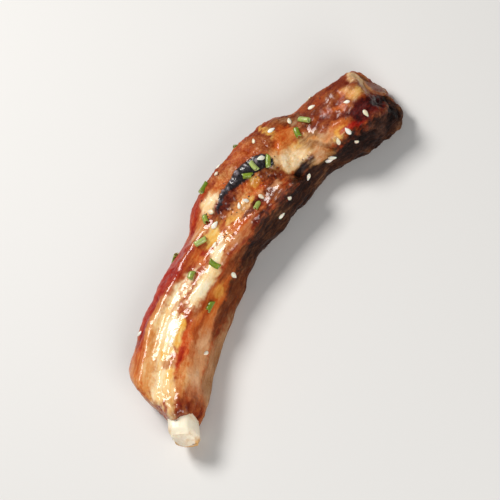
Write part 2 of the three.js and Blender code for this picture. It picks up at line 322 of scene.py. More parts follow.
def place_in_frame():
    """The shift from the bent rib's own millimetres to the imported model's, found on the bone."""
    turn, along = np.meshgrid(np.linspace(0, 2 * math.pi, 80), np.linspace(-1, 1, 60))
    points = bend(bone_points(along.ravel(), np.cos(turn.ravel()), np.sin(turn.ravel())))
    low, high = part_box("bone")
    middle = np.array((low + high) / 2)[:2] / MM
    own = (points.min(0) + points.max(0))[:2] / 2
    return np.array([*(middle - own), 0.0])


FRAME_SHIFT = place_in_frame()


def to_frame(points):
    """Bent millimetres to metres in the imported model's frame."""
    return (points + FRAME_SHIFT) * MM


# ---- Making meshes ---------------------------------------------------------------------------------

def coordinates(mesh):
    """The vertices of a mesh as an array."""
    flat = np.zeros(len(mesh.vertices) * 3)
    mesh.vertices.foreach_get("co", flat)
    return flat.reshape(-1, 3)


def set_coordinates(mesh, points):
    """Moves the vertices of a mesh."""
    mesh.vertices.foreach_set("co", np.ascontiguousarray(points, float).ravel())
    mesh.update()


def add_mask(mesh, name, values):
    """Stores one number a vertex for the material."""
    layer = mesh.attributes.new(name, "FLOAT", "POINT")
    layer.data.foreach_set("value", np.ascontiguousarray(values, np.float32))


def add_colour(mesh, name, colours):
    """Stores one colour a vertex for the material."""
    layer = mesh.attributes.new(name, "FLOAT_COLOR", "POINT")
    whole = np.concatenate([colours, np.ones((len(colours), 1))], -1)
    layer.data.foreach_set("color", np.ascontiguousarray(whole, np.float32).ravel())


def add_place(mesh, points):
    """Stores the straight place of each vertex, in centimetres, for patterns that follow the rib."""
    layer = mesh.attributes.new("place", "FLOAT_VECTOR", "POINT")
    layer.data.foreach_set("vector", np.ascontiguousarray(points * 0.1, np.float32).ravel())


def finish_piece(name, mesh, material, nodes=()):
    """Links a piece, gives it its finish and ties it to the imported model."""
    piece = bpy.data.objects.new(name, mesh)
    bpy.context.scene.collection.objects.link(piece)
    mesh.materials.append(material)
    mesh.polygons.foreach_set("use_smooth", np.ones(len(mesh.polygons), bool))
    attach(piece, "root")
    if nodes:
        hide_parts(*nodes)
    return piece


def ball_mesh(name, around, along):
    """A ball's mesh, with each vertex's share of the way from end to end and its turn round the line."""
    shape = bmesh.new()
    bmesh.ops.create_uvsphere(shape, u_segments=around, v_segments=along, radius=1)
    mesh = bpy.data.meshes.new(name)
    shape.to_mesh(mesh)
    shape.free()
    x, y, z = coordinates(mesh).T
    return mesh, 1 - np.arccos(np.clip(z, -1, 1)) / math.pi, np.arctan2(y, x)


def raised(mesh, height):
    """The vertices of a mesh, moved out along their normals by millimetres."""
    normals = np.zeros(len(mesh.vertices) * 3)
    mesh.vertex_normals.foreach_get("vector", normals)
    return coordinates(mesh) + normals.reshape(-1, 3) * (height * MM)[:, None]


def grain(points, size, octaves, offset):
    """Soft noise from about -1 to 1 with lumps of about the given size."""
    scaled = points / size + offset
    return np.array([noise.fractal(point, 0.9, 2.1, octaves) for point in scaled.tolist()])


def lumps(points, form):
    """Relief in millimetres: (height, grain size, stretch, octaves, offset of the noise)."""
    height, size, stretch, octaves, offset = form
    return height * grain(points * stretch, size, octaves, offset)


def bubbles(points, size, offset):
    """Round lumps: 1 in the middle of each, 0 at the creases between them."""
    scaled = points / size + offset
    near = np.array([noise.voronoi(point)[0][:2] for point in scaled.tolist()])
    return np.clip((near[:, 1] - near[:, 0]) * 1.6, 0, 1)


def patch(s, angle, spot):
    """A soft oval patch on the skin: (s, angle, half length, half angle, lean in degrees a millimetre)."""
    at, around, half_length, half_angle, lean = spot
    ahead = s - at
    across = angle - around - lean * ahead
    return np.exp(-((ahead / half_length) ** 2 + (across / half_angle) ** 2) ** 1.5)


# ---- Materials -------------------------------------------------------------------------------------

class Shader:
    """A small helper that adds and links nodes of one material."""

    def __init__(self, name):
        self.material = bpy.data.materials.new(name)
        self.material.use_nodes = True
        self.tree = self.material.node_tree
        self.surface = self.tree.nodes["Principled BSDF"]

    def put(self, socket, value):
        """Links a socket, or sets its value."""
        if isinstance(value, bpy.types.NodeSocket):
            self.tree.links.new(value, socket)
        else:
            socket.default_value = value

    def fill(self, node, values):
        """Puts numbers or other sockets in a node's sockets, which are named with _ for spaces."""
        for key, value in values.items():
            self.put(node.inputs[key.replace("_", " ")], value)

    def finish(self, **values):
        """Fills the sockets of the surface and gives back the material."""
        self.fill(self.surface, values)
        return self.material

    def node(self, kind, **values):
        """Adds a node and fills its sockets."""
        made = self.tree.nodes.new(kind)
        self.fill(made, values)
        return made

    def mask(self, name, output="Fac"):
        """Reads what the mesh stores at each vertex: a number, or a Color or Vector."""
        made = self.tree.nodes.new("ShaderNodeAttribute")
        made.attribute_name = name
        return made.outputs[output]

    def place(self, stretch=(1, 1, 1)):
        """The straight place on the rib in centimetres, stretched for grain that runs along it."""
        spot = self.mask("place", "Vector")
        return self.node("ShaderNodeMapping", Vector=spot, Scale=stretch).outputs["Vector"]

    def coordinates(self):
        """Object coordinates, in metres."""
        return self.tree.nodes.new("ShaderNodeTexCoord").outputs["Object"]

    def noise(self, vector, scale, detail=3.0, roughness=0.55, distortion=0.0):
        """A noise texture's number."""
        made = self.node("ShaderNodeTexNoise", Vector=vector, Scale=scale, Detail=detail)
        self.fill(made, {"Roughness": roughness, "Distortion": distortion})
        return made.outputs["Fac"]

    def cells(self, vector, scale):
        """Distance to the nearest point of a cell pattern."""
        return self.node("ShaderNodeTexVoronoi", Vector=vector, Scale=scale).outputs["Distance"]

    def span(self, value, low, high, bottom=0.0, top=1.0):
        """Maps low..high to bottom..top and holds it there."""
        made = self.node("ShaderNodeMapRange", Value=value, From_Min=low, From_Max=high)
        self.fill(made, {"To Min": bottom, "To Max": top})
        made.interpolation_type = "SMOOTHSTEP"
        return made.outputs["Result"]

    def math(self, operation, *values):
        """One sum on two or three numbers."""
        made = self.tree.nodes.new("ShaderNodeMath")
        made.operation = operation
        for socket, value in zip(made.inputs, values):
            self.put(socket, value)
        return made.outputs["Value"]

    def times(self, first, second):
        """The product of two numbers."""
        return self.math("MULTIPLY", first, second)

    def mix(self, amount, first, second):
        """Mixes two numbers."""
        made = self.tree.nodes.new("ShaderNodeMix")
        for socket, value in zip(made.inputs, (amount, None, first, second)):
            if value is not None:
                self.put(socket, value)
        return made.outputs[0]

    def blend(self, amount, first, second, mode="MIX"):
        """Mixes two colours."""
        made = self.tree.nodes.new("ShaderNodeMix")
        made.data_type = "RGBA"
        made.blend_type = mode
        factor, colour_a, colour_b = made.inputs[0], made.inputs[6], made.inputs[7]
        self.put(factor, amount)
        self.put(colour_a, first if isinstance(first, bpy.types.NodeSocket) else (*first, 1.0))
        self.put(colour_b, second if isinstance(second, bpy.types.NodeSocket) else (*second, 1.0))
        return made.outputs[2]

    def bump(self, height, distance, strength=1.0, under=None):
        """Bumps the surface by a height map, distance in metres."""
        made = self.node("ShaderNodeBump", Height=height, Distance=distance, Strength=strength)
        if under is not None:
            self.put(made.inputs["Normal"], under)
        return made.outputs["Normal"]


def meat_material(colours):
    """Sticky glaze over roasted meat, pale fat, lean fibres and a burnt seam with a painted highlight on its
    beads.
    """
    shader = Shader("rib_glazed_meat")
    place = shader.place()
    along = shader.place((0.35, 1.6, 1.6))
    fibre = shader.place((0.5, 1.7, 1.7))
    gloss = shader.mask("gloss")
    lean = shader.mask("lean")

    # the glaze deepens the skin's colour where it is thick
    streaks = shader.noise(fibre, 5.0, 4, 0.6, 0.6)
    specks = shader.noise(place, 13.0, 4, 0.7, 0.5)
    streaks = shader.mix(shader.mask("grainy"), streaks, specks)
    streaks = shader.mix(shader.times(lean, 0.6), streaks, 0.5)
    thickness = shader.span(streaks, 0.3, 0.7, 1.32, 0.74)
    blotch = shader.span(shader.noise(along, 1.7, 3, 0.5), 0.45, 0.7, 0.0, 0.3)
    mottle = shader.span(shader.noise(place, 8.0, 4, 0.65), 0.5, 0.72, 0.0, 0.3)
    thickness = shader.math("ADD", shader.math("ADD", thickness, blotch), shader.times(mottle, gloss))
    skin = shader.node("ShaderNodeGamma", Color=shader.mask("skin", "Color"), Gamma=thickness)
    flecks = shader.span(shader.noise(place, 15.0, 3, 0.7), 0.68, 0.76)
    flecks = shader.times(flecks, shader.mix(lean, 0.6, 0.0))
    skin = shader.blend(flecks, skin.outputs["Color"], colours.dark_brown)

    # the burnt seam has a ragged edge and a painted highlight, lighter grey, on its beads
    wander = shader.times(shader.math("SUBTRACT", shader.noise(place, 9.0), 0.5), 0.7)
    char = shader.span(shader.math("ADD", shader.mask("char"), wander), 0.3, 0.6)
    seam_painted_highlight = shader.times(shader.mask("painted_highlight"), shader.span(shader.noise(place, 9.0, 3), 0.36, 0.56))
    char_tone = shader.blend(seam_painted_highlight, colours.char, colours.char_painted_highlight)

    rough = shader.span(shader.noise(place, 7.0, 4), 0.3, 0.7, 0.38, 0.6)
    fine = shader.mix(lean, shader.noise(place, 12.0, 3, 0.6), shader.noise(fibre, 7.0, 3, 0.6))
    wrinkles = shader.noise(place, 11.0, 4, 0.6, 0.4)
    return shader.finish(
        Base_Color=shader.blend(char, skin, char_tone),
        Roughness=shader.math("SUBTRACT", rough, shader.times(gloss, 0.1)),
        Coat_Weight=gloss,
        Coat_Roughness=0.09,
        Coat_IOR=1.4,
        Specular_IOR_Level=0.12,
        Subsurface_Weight=0.1,
        Subsurface_Radius=(1.0, 0.35, 0.15),
        Subsurface_Scale=0.002,
        Normal=shader.bump(wrinkles, 0.0005, 0.6, shader.bump(fine, 0.0003, 0.5)),
    )


def bone_material(colours):
    """Cooked cream bone with brown stains, dark specks and a spongy cut end."""
    shader = Shader("rib_bone")
    spot = shader.coordinates()
    stain = shader.noise(spot, 240.0, 4, 0.6)
    base = shader.blend(shader.span(stain, 0.45, 0.75, 0.0, 0.5), colours.bone, colours.bone_stain)
    base = shader.blend(shader.span(shader.mask("edge"), 0.25, 0.9, 0.0, 0.85), base, colours.bone_stain)
    marrow = shader.blend(shader.span(shader.cells(spot, 1500.0), 0.2, 0.6), colours.marrow, colours.brown)
    base = shader.blend(shader.mask("marrow"), base, marrow)
    glaze = shader.times(shader.mask("glazed"), shader.span(stain, 0.35, 0.65, 0.6, 0.95))
    base = shader.blend(glaze, base, colours.roast)
    specks = shader.span(shader.noise(spot, 330.0, 2, 0.5), 0.68, 0.73, 0.0, 0.85)
    return shader.finish(
        Base_Color=shader.blend(specks, base, colours.brown),
        Roughness=shader.span(stain, 0.3, 0.7, 0.38, 0.6),
        Coat_Weight=0.15,
        Coat_Roughness=0.3,
        Subsurface_Weight=0.15,
        Subsurface_Radius=(1.0, 0.6, 0.35),
        Subsurface_Scale=0.002,
        Normal=shader.bump(shader.noise(spot, 900.0, 4, 0.6), 0.0002, 0.6),
    )


def seed_material(colours):
    """Hulled sesame: off-white with a warm tint that differs from seed to seed."""
    shader = Shader("rib_sesame")
    spot = shader.coordinates()
    base = shader.blend(shader.mask("tint"), colours.seed, colours.seed_warm)
    blotches = shader.span(shader.noise(spot, 1400.0, 3), 0.5, 0.8, 0.0, 0.35)
    return shader.finish(
        Base_Color=shader.blend(blotches, base, colours.seed_warm),
        Roughness=0.4,
        Coat_Weight=0.25,
        Coat_Roughness=0.25,
        Subsurface_Weight=0.2,
        Subsurface_Scale=0.001,
        Normal=shader.bump(shader.noise(spot, 2500.0, 2), 0.0001, 0.4),
    )


def chive_material(colours):
    """Fresh chopped chive: streaked green, some bits darker, paler on the cut rims and inside."""
    shader = Shader("rib_chive")
    tint = shader.mask("tint")
    streaks = shader.noise(shader.coordinates(), 1300.0, 3)
    base = shader.blend(shader.span(streaks, 0.3, 0.7), colours.chive, colours.chive_dark)
    base = shader.blend(shader.span(tint, 0.0, 0.5, 0.75, 0.0), base, colours.chive_dark)
    base = shader.blend(shader.span(tint, 0.4, 1.0, 0.0, 0.5), base, colours.chive_pale)
    inside = shader.span(shader.mask("inside"), 0.2, 0.8, 0.0, 0.7)
    return shader.finish(
        Base_Color=shader.blend(inside, base, colours.chive_pale),
        Roughness=shader.span(streaks, 0.3, 0.7, 0.25, 0.4),
        Coat_Weight=0.3,
        Coat_Roughness=0.15,
        Subsurface_Weight=0.1,
        Subsurface_Scale=0.001,
        Normal=shader.bump(streaks, 0.00015, 0.4),
    )


def crumb_material(colours):
    """Burnt crumbs and pepper, nearly black."""
    shader = Shader("rib_char_crumb")
    spot = shader.coordinates()
    return shader.finish(
        Base_Color=shader.blend(shader.noise(spot, 2000.0, 2), colours.char, colours.dark_brown),
        Roughness=shader.span(shader.noise(spot, 1200.0, 2), 0.3, 0.7, 0.35, 0.6),
    )


def floor_material(colour):
    """A plain pale matt floor."""
    shader = Shader("stage_floor")
    tone = shader.span(shader.noise(shader.coordinates(), 3.0, 2), 0.3, 0.7, 0.0, 0.25)
    darker = [part * 0.97 for part in colour]
    return shader.finish(Base_Color=shader.blend(tone, colour, darker), Roughness=0.6)


# ---- The meat --------------------------------------------------------------------------------------

MEAT_AROUND = 212
MEAT_ALONG = 440
CAP_SHARE = 0.1
# Painted shade and light: the skin's colour is darkened in the hollows of the relief and lightened on its
# lumps.
PAINTED_HOLLOW_SHADE = 0.3
PAINTED_SHADE_DEPTH = 0.7

# Where the finish of the skin changes: spans of s in millimetres and of the angle in degrees.
LEAN_SIDE = (122, 140)
LEAN_ENDS = (66, 96)
CRUST_STARTS = (88, 100)
CRUST_ENDS = (124, 134)
CRUST_SIDE = (96, 120)
HEAD_STARTS = (134, 142)
ROUGH_STARTS = (138, 150)
ROUGH_SIDE = (108, 128)
INNER_SIDE = (120, 140)
OUTER_SIDE = (24, 40)
OUTER_ENDS = (50, 72)
FAR_SIDE = (20, 30)
STICKY_SPOT = (99, 94, 11, 10, -0.4)
DRY_HOLLOW = (126, 124, 8, 16, 0)
GLAZE_SPOT_SIZE = 3.0
GLAZE_SPOT_EDGE = (0.1, 0.45)
LEAST_GLOSS = 0.02
LOST_GLOSS = {"hollow": 0.9, "lean": 0.75, "crust": 0.6, "dull": 0.9, "head": 0.88}

# The burnt seam's own finish: places off its middle are in half widths.
SEAM_TAPER = 15.0
SEAM_THINNEST = 0.3
SEAM_THICKEST = 1.3
CHAR_MIDDLE = -0.25
CHAR_COVER = 1.6
MAROON_ENDS = (99, 107)
MAROON_SIDE = (-0.1, 0.5)
MAROON_COVER = 0.55
# Where a highlight is painted on the seam's beads: its middle and width off the seam's middle, and how much
# the beads show it.
PAINTED_HIGHLIGHT_MIDDLE = 0.25
PAINTED_HIGHLIGHT_WIDTH = 0.6
PAINTED_HIGHLIGHT_BEADS = (0.15, 0.9)
PAINTED_HIGHLIGHT_LEAST = 0.1
BEAD_SIZE = 2.0
BEAD_HEIGHT = 0.9
BEAD_SINK = 0.1

# Fine relief: height and grain size in millimetres, stretch (s, w, h), octaves, offset of the noise.
RELIEF = {
    "crags": (0.4, 7.0, (1, 1, 1), 2, 3.1),
    "crust": (0.6, 2.0, (1, 1, 1), 3, 11.0),
    "crinkles": (0.17, 2.2, (1.3, 0.8, 0.8), 2, 15.0),
    "fibres": (0.1, 1.3, (0.16, 1, 1), 3, 7.0),
    "folds": (0.5, 4.6, (0.35, 1, 0.8), 2, 21.0),
    "rough": (0.9, 3.4, (1, 1, 1), 3, 43.0),
    "ragged": (0.45, 3.2, (1, 1, 1), 3, 31.0),
    "torn": (0.9, 4.5, (1, 1, 1), 3, 37.0),
}
CRAGS_GROW = (84, 100)
NARROW_END = (16, 26)
THICK_END = (154, 163)
TORN_END = (158, 163)
OVER_BONE = (159, 162)
OVER_BONE_HALF = (5.4, 7.0)
OVER_BONE_SINK = 0.5
FLOOR_FADE = (0.05, 1.4)

# Strokes of colour, laid in this order: (s, angle, half length, half angle, lean in degrees a
# millimetre), the colour and how much it covers.
STROKES = (
    # the whole skin from the outer side over the top to the inner side
    ((60, 20, 60, 34, 0), "red_orange", 1.0),
    ((112, 50, 26, 34, 0), "roast", 0.5),
    ((150, 76, 16, 54, 0), "roast", 1.0),
    ((100, 250, 90, 55, 0), "brown", 0.9),
    # The dark strokes on the inner side are partly roasted colour and partly painted shade, where that side
    # turns away from the light.
    ((122, 180, 46, 60, 0), "dark_brown", 1.0),
    ((122, 200, 46, 60, 0), "dark_brown", 0.9),
    ((152, 186, 26, 62, 0), "dark_brown", 1.0),
    # Char here is painted shade on the inner side by the head, not burning.
    ((150, 166, 20, 34, 0), "char", 0.45),
    ((93, 166, 15, 42, 0), "dark_brown", 0.9),
    ((40, 250, 45, 55, 0), "grey_tan", 0.8),
    ((85, -85, 95, 42, 0), "brown", 0.9),
    # the side that faces away
    ((24, 0, 10, 24, 0), "light_orange", 0.5),
    ((46, -14, 16, 14, 0.3), "roast", 0.8),
    ((40, 10, 7, 6, 0.6), "gold", 0.45),
    ((66, 6, 16, 6, -0.2), "orange", 0.7),
    ((84, -16, 14, 12, 0), "red_orange", 0.8),
    ((92, 18, 6, 7, 0), "gold", 0.4),
    ((104, -6, 14, 12, 0.3), "roast", 0.9),
    ((118, 14, 9, 9, -0.4), "red", 0.7),
    ((128, -18, 12, 16, 0), "brown", 0.8),
    ((134, 26, 5, 7, 0), "gold", 0.4),
    ((146, 4, 12, 18, 0.5), "brown", 0.8),
    ((150, -20, 8, 10, 0), "orange", 0.5),
    # lean inner side of the bone half
    ((34, 150, 24, 36, 0.4), "tan", 1.0),
    ((28, 134, 12, 18, 0), "pale_tan", 0.6),
    ((25, 114, 10, 13, 0.5), "light_orange", 0.8),
    ((36, 128, 12, 10, 1.0), "orange", 0.45),
    ((34, 156, 12, 20, 0.4), "pale_tan", 0.75),
    ((62, 152, 17, 17, 0), "orange", 0.8),
    ((50, 138, 14, 7, 0.5), "red_orange", 0.9),
    ((69, 150, 4, 9, 0), "gold", 0.5),
    # Brown and dark brown towards the lower inner edge of the lean side: partly roasted colour, partly
    # painted shade.
    ((62, 178, 15, 12, 0), "brown", 0.8),
    ((82, 190, 25, 28, 0), "dark_brown", 0.8),
    ((64, 196, 22, 24, 0), "brown", 0.6),
    ((80, 142, 8, 12, 0), "brown", 0.7),
    ((86, 128, 12, 7, 0), "red_orange", 0.7),
    ((36, 206, 26, 26, 0.3), "grey_tan", 0.8),
    # The narrow end's lower inner part is darkened: partly roasted colour, partly painted shade.
    ((14, 160, 10, 60, 0), "red_orange", 0.6),
    ((11, 162, 8, 66, 0), "roast", 0.85),
    ((9, 164, 4.5, 70, 0), "roast", 0.9),
    ((8, 168, 4, 66, 0), "brown", 0.8),
    # outer flank
    ((30, 44, 15, 24, 0), "orange", 0.7),
    ((30, 52, 3, 10, 1.5), "roast", 0.6),
    ((38, 40, 2, 9, 1.5), "roast", 0.6),
    ((26, 10, 9, 40, 0), "tan", 0.6),
    ((27, 56, 11, 14, 0.3), "orange", 0.8),
    ((60, 54, 24, 23, 0.15), "red", 1.0),
    ((62, 60, 12, 12, 0), "red", 0.6),
    ((66, 18, 30, 18, 0), "red", 0.7),
    ((88, 48, 7, 14, 0), "red", 0.7),
    ((84, 66, 6, 12, 0), "light_orange", 0.8),
    # fat over the crest; the pale and cream strokes are partly the fat's own colour and partly a painted
    # highlight where the key light glares along the crest
    ((38, 68, 20, 7, 0.2), "light_orange", 0.9),
    ((26, 66, 10, 7, 0.2), "light_orange", 0.8),
    ((42, 88, 26, 15, 0.2), "pale_fat", 1.0),
    ((23, 86, 8, 16, 0.3), "fat", 1.0),
    ((19, 80, 4, 12, 0), "pale_fat", 0.8),
    ((26.5, 94, 3, 8, 0), "gold", 0.6),
    ((30, 90, 2, 9, 0.6), "red_orange", 0.6),
    ((34, 90, 3, 9, 1.0), "gold", 0.8),
    ((42, 94, 7, 10, 0.4), "cream", 0.95),
    ((43, 108, 8, 6, 0.5), "gold", 0.9),
    ((61, 92, 11, 8, 0), "cream", 0.8),
    ((58, 94, 9, 2.4, 0.3), "orange", 0.6),
    ((66, 89, 8, 1.8, -0.2), "orange", 0.6),
    ((41, 120, 15, 7.5, 1.25), "bright_red", 0.95),
    ((34, 110, 5, 3.4, 1.4), "red", 0.8),
    ((50, 132, 8, 4.5, 0.8), "orange", 0.8),
    ((55, 108, 3.4, 11, 1.6), "red_orange", 0.7),
    ((16, 98, 8, 7, 0), "pale_fat", 0.8),
    ((65, 119, 10, 13, 0.3), "fat", 1.0),
    ((64, 118, 7, 8, 0.3), "cream", 1.0),
    ((75, 113, 8, 11, -0.6), "fat", 0.9),
    ((80, 110, 7, 7, -0.9), "cream", 0.9),
    ((76, 91, 5, 9, -0.8), "orange", 0.9),
    ((78, 90, 1.8, 5, 0), "red", 0.8),
    ((85, 90, 6, 9, -0.6), "gold", 0.9),
    ((88, 108, 7, 8, -0.3), "light_orange", 0.8),
    ((88, 122, 14, 5, 0), "tan", 0.8),
    # mound
    ((93, 66, 4.5, 10, 0), "pale_fat", 0.95),
    ((99, 62, 4, 9, 0), "orange", 0.7),
    ((97, 108, 7, 12, -0.3), "orange", 0.9),
    ((101, 95, 8, 7, -0.4), "light_orange", 0.9),
    ((95, 96, 3, 5, 0), "gold", 0.6),
    ((106, 97, 3, 5, 0), "tan", 0.6),
    ((102, 108, 5.5, 7, 0), "deep_red", 0.9),
    ((109, 92, 6, 9, -0.4), "orange", 0.8),
    ((99, 89, 5, 6, 0), "light_orange", 0.8),
    ((115, 90, 4, 8, 0), "brown", 0.8),
    ((104, 58, 5, 10, 0), "light_orange", 0.4),
    ((116, 50, 8, 16, 0), "red_orange", 0.8),
    ((122, 56, 5, 18, 0), "brown", 0.5),
    ((126, 52, 1.6, 14, 0), "gold", 0.6),
    ((112, 108, 6, 13, -1.2), "brown", 0.95),
    ((108, 105, 1.3, 9, -4), "tan", 0.4),
    ((114.5, 108, 2, 8, -0.8), "tan", 0.6),
    ((97, 79, 8, 6, -0.3), "deep_red", 0.9),
    ((104, 99, 1.6, 3.5, 0), "gold", 0.7),
    ((109, 88, 1.8, 4, -0.5), "gold", 0.7),
    ((119.5, 108, 3, 17, 0.8), "roast", 0.95),
    # hollow, shank and shoulder
    ((127, 93, 8.5, 20, 0.6), "gold", 0.9),
    ((126.5, 94, 7, 17, 0.6), "pale_fat", 1.0),
    ((126, 92, 8, 19, 0.6), "pale_tan", 0.4),
    ((125.5, 97, 5, 12, 0.6), "cream", 0.5),
    ((132, 86, 3, 7, 0), "gold", 0.8),
    ((129, 69, 8, 9, -0.8), "orange", 0.9),
    ((131, 71, 4, 5, -0.8), "light_orange", 0.5),
    # Dark brown and char in the hollow: partly roasted colour, partly painted shade in the recess.
    ((126, 126, 7, 15, 0), "dark_brown", 1.0),
    ((126, 124, 4, 9, 0), "char", 0.7),
    ((133.5, 138, 4.2, 28, -1.5), "light_orange", 0.55),
    ((133, 138, 2.4, 22, -1.5), "tan", 0.6),
    ((136, 102, 6, 18, 2.6), "grey_tan", 0.9),
    ((137, 104, 5, 3.4, 3.2), "light_orange", 0.7),
    ((141, 110, 5, 9, 1.2), "pale_tan", 0.7),
    ((133, 50, 6, 12, 0), "brown", 0.8),
    ((134, 52, 3, 6, 0), "grey_tan", 0.6),
    ((138, 66, 4, 9, 0), "brown", 0.8),
    # head
    ((146, 110, 5, 8, 0), "orange", 0.8),
    ((149, 82, 6, 12, 0.8), "red_orange", 0.8),
    ((147, 64, 4, 9, 0), "orange", 0.4),
    ((154, 76, 3, 8, 0), "orange", 0.6),
    ((145, 72, 3, 8, 0), "brown", 0.6),
    ((144, 118, 4, 6, 0), "gold", 0.8),
    ((150, 78, 3, 16, 0), "brown", 0.6),
    ((152, 98, 5, 5, 2.0), "orange", 0.8),
    ((158, 92, 3, 12, 0), "gold", 0.6),
    ((150, 122, 7, 6, 0.5), "red", 1.0),
    ((157, 86, 2.4, 16, 0), "light_orange", 0.7),
    ((166, 64, 4.5, 40, 0), "light_orange", 0.9),
    ((164, 70, 3, 26, 0), "fat", 0.6),
    ((166, 40, 3, 12, 0), "brown", 0.8),
    ((156, 116, 6, 15, 0.8), "deep_red", 1.0),
    ((164, 124, 8, 19, 0), "deep_red", 1.0),
)
# How the strokes' edges wander: grain size in millimetres, and reach in degrees.
EDGE_WANDER = ((9.0, 6.0), (2.4, 3.2))
STROKE_EDGE = (0.08, 0.82)
STREAKS = ((0.2, 1.6, (0.3, 1, 1), 3, 90.0), (0.24, 1.5, (1, 1, 1), 2, 95.0))


def capsule_places(share, turn):
    """Core points, directions and angles for the vertices of a ball stood along the rib."""
    first = np.clip(share / CAP_SHARE, 0, 1)
    last = np.clip((share - 1 + CAP_SHARE) / CAP_SHARE, 0, 1)
    tilt = (last - (1 - first)) * math.pi / 2
    body = np.clip((share - CAP_SHARE) / (1 - 2 * CAP_SHARE), 0, 1)
    start = core_points(CORE_START + (CORE_END - CORE_START) * body)
    way = spread(np.sin(tilt), np.cos(tilt) * np.cos(turn), np.cos(tilt) * np.sin(turn))
    return start, way, (np.degrees(turn) + 90) % 360 - 90


def skin_colours(points, angle, colours):
    """The colour of each vertex: strokes with ragged edges, laid over each other."""
    s = points[:, 0]
    for offset, (size, reach) in enumerate(EDGE_WANDER):
        s = s + reach / 3 * grain(points, size, 2, 40.0 + 20 * offset)
        angle = angle + reach * grain(points, size, 2, 50.0 + 20 * offset)
    streaks = sum(lumps(points, form) for form in STREAKS)
    skin = np.tile(np.array(colours.red_orange), (len(points), 1))
    for spot, name, cover in STROKES:
        near = patch(s, angle, spot)
        alpha = cover * smooth(near + streaks * np.minimum(3 * near, 1), *STROKE_EDGE)
        skin += (np.array(getattr(colours, name)) - skin) * alpha[:, None]
    return skin


def glaze(points, angle, lean, crust, head):
    """How glossy the glaze is: little where the skin is lean, crusty, turned away or hollow."""
    s = points[:, 0]
    outer = smooth(angle, *OUTER_SIDE) * (1 - smooth(angle, *OUTER_ENDS))
    far = 1 - smooth(angle, *FAR_SIDE)
    spots = smooth(grain(points, GLAZE_SPOT_SIZE, 2, 71.0), *GLAZE_SPOT_EDGE)
    dry = {
        "hollow": patch(s, angle, DRY_HOLLOW),
        "lean": lean,
        "crust": crust * (1 - patch(s, angle, STICKY_SPOT)),
        "dull": np.max([smooth(angle, *INNER_SIDE), 0.9 * outer, 0.4 * far], axis=0),
        "head": head * (1 - 0.568 * spots),
    }
    return np.clip(1 - sum(LOST_GLOSS[name] * share for name, share in dry.items()), LEAST_GLOSS, 1)


def meat_masks(points, angle):
    """Where the skin is burnt, glossy, lean, crusty, grainy or rough, and where a highlight is painted on the
    seam, as numbers from 0 to 1.
    """
    s, w, h = points.T
    lean = smooth(angle, *LEAN_SIDE) * (1 - smooth(s, *LEAN_ENDS))
    crust = smooth(s, *CRUST_STARTS) * (1 - smooth(s, *CRUST_ENDS)) * (1 - smooth(angle, *CRUST_SIDE))
    head = smooth(s, *HEAD_STARTS)
    inside, off = seam_place(s, w, h)
    width = np.clip((s - SEAM_FROM) / SEAM_TAPER, SEAM_THINNEST, SEAM_THICKEST)
    char = np.clip(CHAR_COVER * inside * np.exp(-(((off - CHAR_MIDDLE) / width) ** 2)), 0, 1)
    char *= 1 - MAROON_COVER * (1 - smooth(s, *MAROON_ENDS)) * smooth(-off, *MAROON_SIDE)
    beads = bubbles(points, BEAD_SIZE, 5.0)
    # painted highlight: a lighter grey over the char on the seam's beads
    painted_highlight = inside * np.exp(-(((off - PAINTED_HIGHLIGHT_MIDDLE) / PAINTED_HIGHLIGHT_WIDTH) ** 2))
    return {
        "char": char,
        "painted_highlight": painted_highlight * (PAINTED_HIGHLIGHT_LEAST + (1 - PAINTED_HIGHLIGHT_LEAST) * smooth(beads, *PAINTED_HIGHLIGHT_BEADS)),
        "gloss": np.maximum(glaze(points, angle, lean, crust, head), char),
        "lean": lean,
        "crust": crust,
        "grainy": np.maximum(crust, 0.75 * head),
        "rough": smooth(s, *ROUGH_STARTS) * smooth(angle, *ROUGH_SIDE),
        "beads": beads,
    }


def meat_relief(points, masks):
    """Crags, folds, fibres, beads and ragged ends, in millimetres out of the skin."""
    s, w, h = points.T
    lean = masks["lean"]
    ends = 1 - smooth(s, *NARROW_END) + smooth(s, *THICK_END)
    shares = {
        "crags": 1 + 0.8 * smooth(s, *CRAGS_GROW),
        "crust": masks["crust"],
        "crinkles": 1 - lean,
        "fibres": 0.3 + 0.8 * lean + 2.5 * ends,
        "folds": 0.9 - 0.5 * lean,
        "rough": masks["rough"],
        "ragged": ends,
        "torn": smooth(s, *TORN_END),
    }
    height = masks["char"] * (BEAD_HEIGHT * masks["beads"] - BEAD_SINK)
    for name, form in RELIEF.items():
        height += shares[name] * lumps(points, form)
    line_w, line_h = bone_line(s)
    half_w, half_h = OVER_BONE_HALF
    near_bone = ((w - line_w) / half_w) ** 2 + ((h - line_h) / half_h) ** 2
    over_bone = np.exp(-(near_bone**3)) * smooth(s, *OVER_BONE)
    height = height * (1 - over_bone) - OVER_BONE_SINK * over_bone
    return height * smooth(h, *FLOOR_FADE)


def above_floor(points):
    """The points, with those under the floor lifted on to it."""
    points[:, 2] = np.maximum(points[:, 2], 0)
    return points


